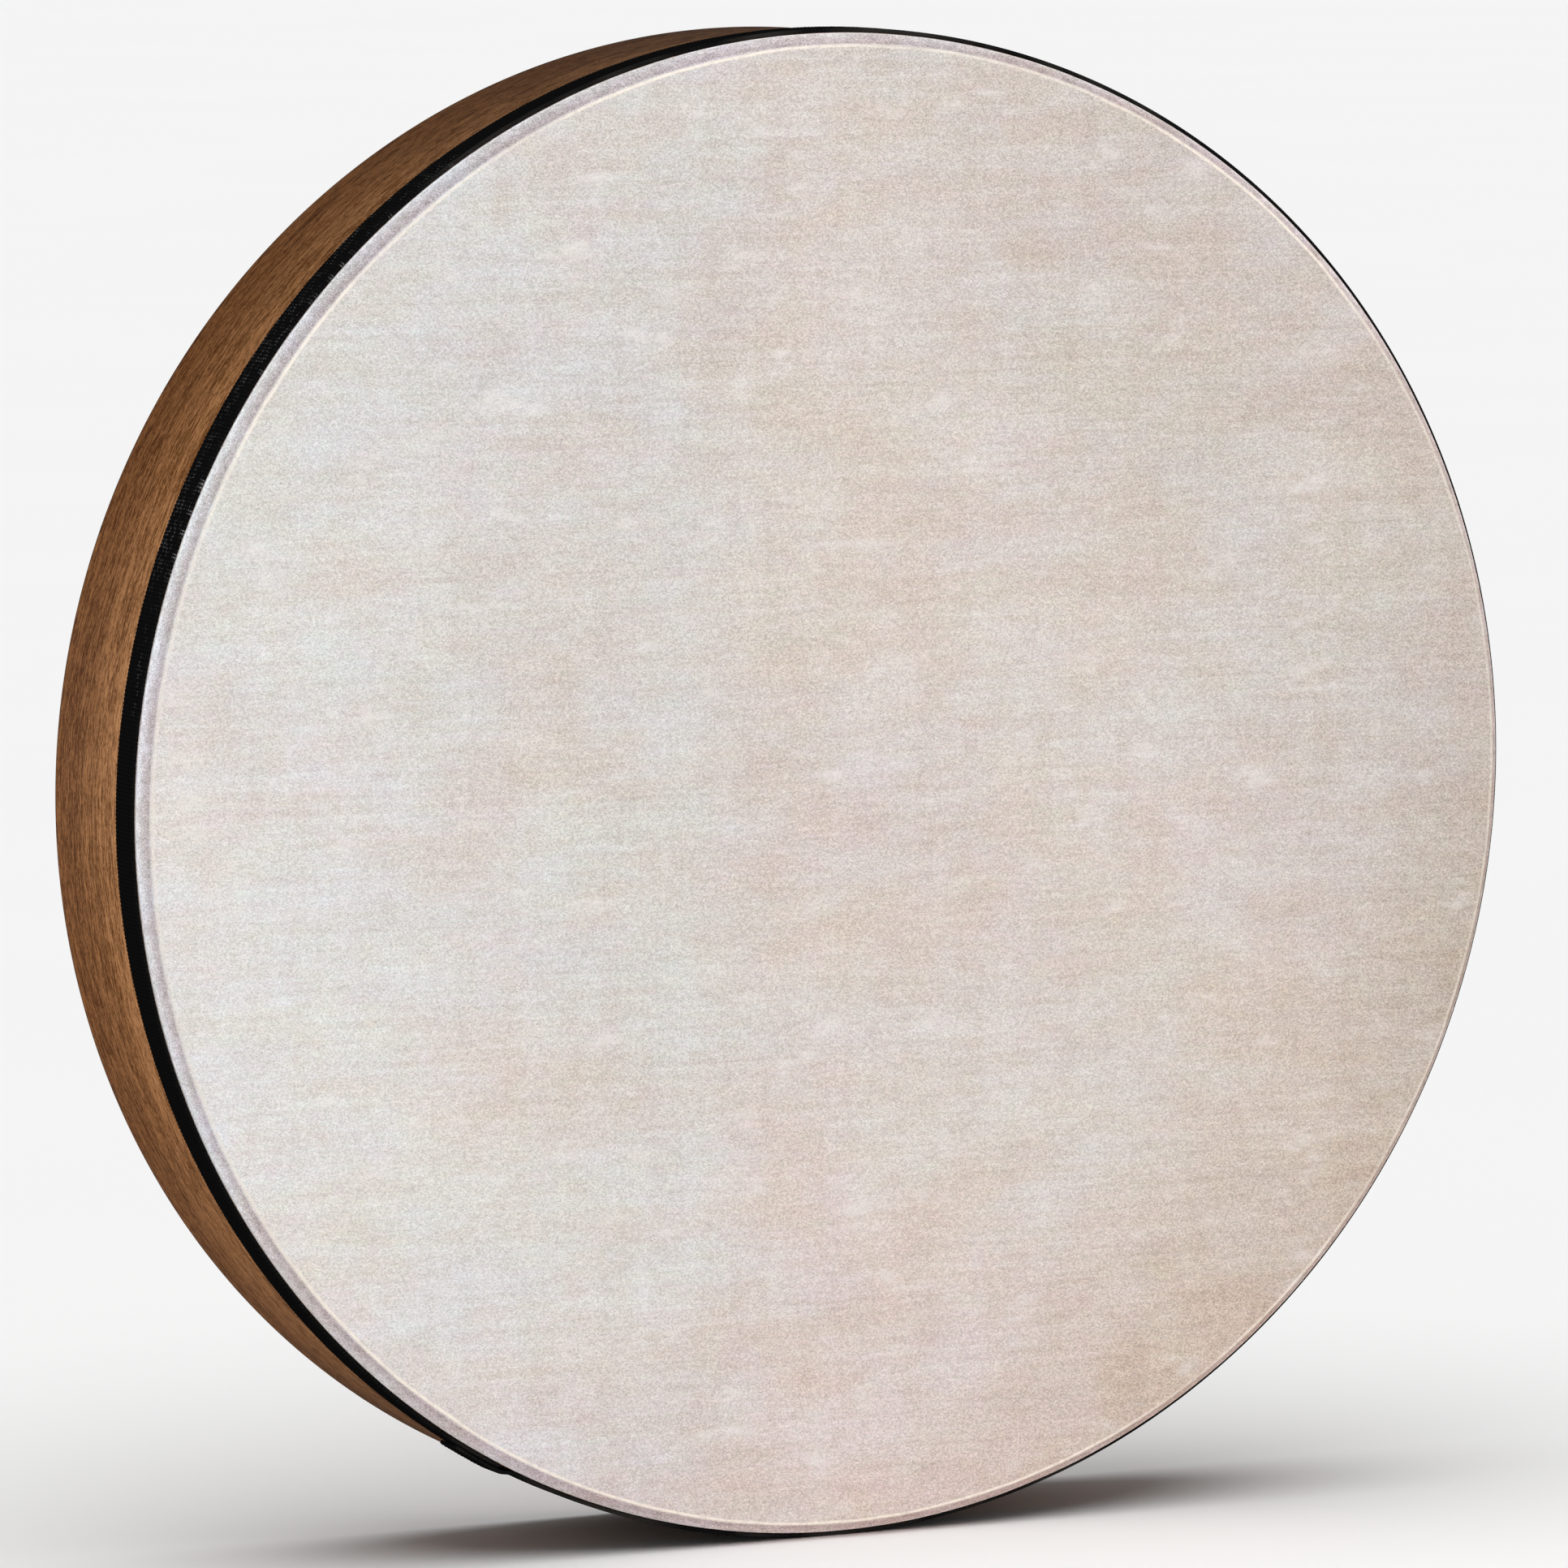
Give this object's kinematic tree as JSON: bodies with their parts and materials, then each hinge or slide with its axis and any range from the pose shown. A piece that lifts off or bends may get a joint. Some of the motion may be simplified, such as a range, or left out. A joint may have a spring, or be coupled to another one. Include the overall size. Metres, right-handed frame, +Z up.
{
  "type": "frame drum",
  "caption": "Shallow round frame drum: a bent plywood ring with a fixed film head glued over its front edge, a woven edge ribbon and an open back.",
  "frame": {"origin": "on the drum's axis, halfway between the head's playing face and the back rim", "axes": "+Y along the drum's axis from the head to the open back, +Z up as the drum stands on its rim"},
  "size_m": [0.409, 0.0636, 0.409],
  "materials": {
    "stained_veneer": "satin",
    "core_ply": "satin",
    "inner_veneer": "satin",
    "head_film": "matte",
    "glue": "gloss",
    "black_ribbon": "woven"
  },
  "bodies": {
    "root": {"shell_outer_ply": "stained_veneer", "shell_core_ply_1": "core_ply", "shell_core_ply_2": "core_ply", "shell_core_ply_3": "core_ply", "shell_core_ply_4": "core_ply", "shell_inner_ply": "inner_veneer", "drum_head": "head_film", "head_glue": "glue", "ribbon_glue": "glue", "edge_ribbon": "black_ribbon"}
  },
  "joints": []
}
